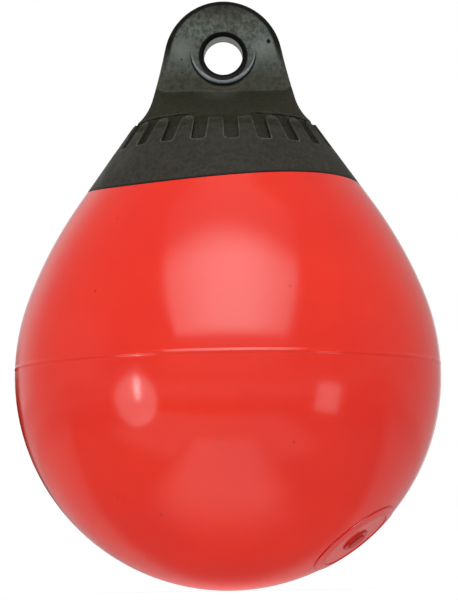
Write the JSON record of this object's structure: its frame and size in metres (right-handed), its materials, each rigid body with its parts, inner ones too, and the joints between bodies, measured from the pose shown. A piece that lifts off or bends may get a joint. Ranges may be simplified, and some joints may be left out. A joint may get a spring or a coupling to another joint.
{
  "type": "inflatable anchor buoy",
  "caption": "Inflated vinyl buoy, round below and drawn in to a cone, with a moulded rope eye on top and a screw-plug air valve low on its side.",
  "frame": {"origin": "on the buoy's axis at the water surface when it floats empty", "axes": "+Z along the buoy's axis to the rope eye, which is up as in the picture; the eye's hole runs along Y and the valve is on the +X side"},
  "size_m": [0.3812, 0.3812, 0.531],
  "materials": {
    "red_vinyl": "glossy soft vinyl",
    "black_vinyl": "satin moulded vinyl with light scuffs",
    "valve_seat_vinyl": "glossy moulded vinyl",
    "seal_rubber": "matt rubber",
    "plug_plastic": "satin nylon"
  },
  "bodies": {
    "root": {"bladder": "red_vinyl", "eye_end": "black_vinyl", "valve_seat": "valve_seat_vinyl", "valve_seal": "seal_rubber", "valve_plug": "plug_plastic"}
  },
  "joints": []
}
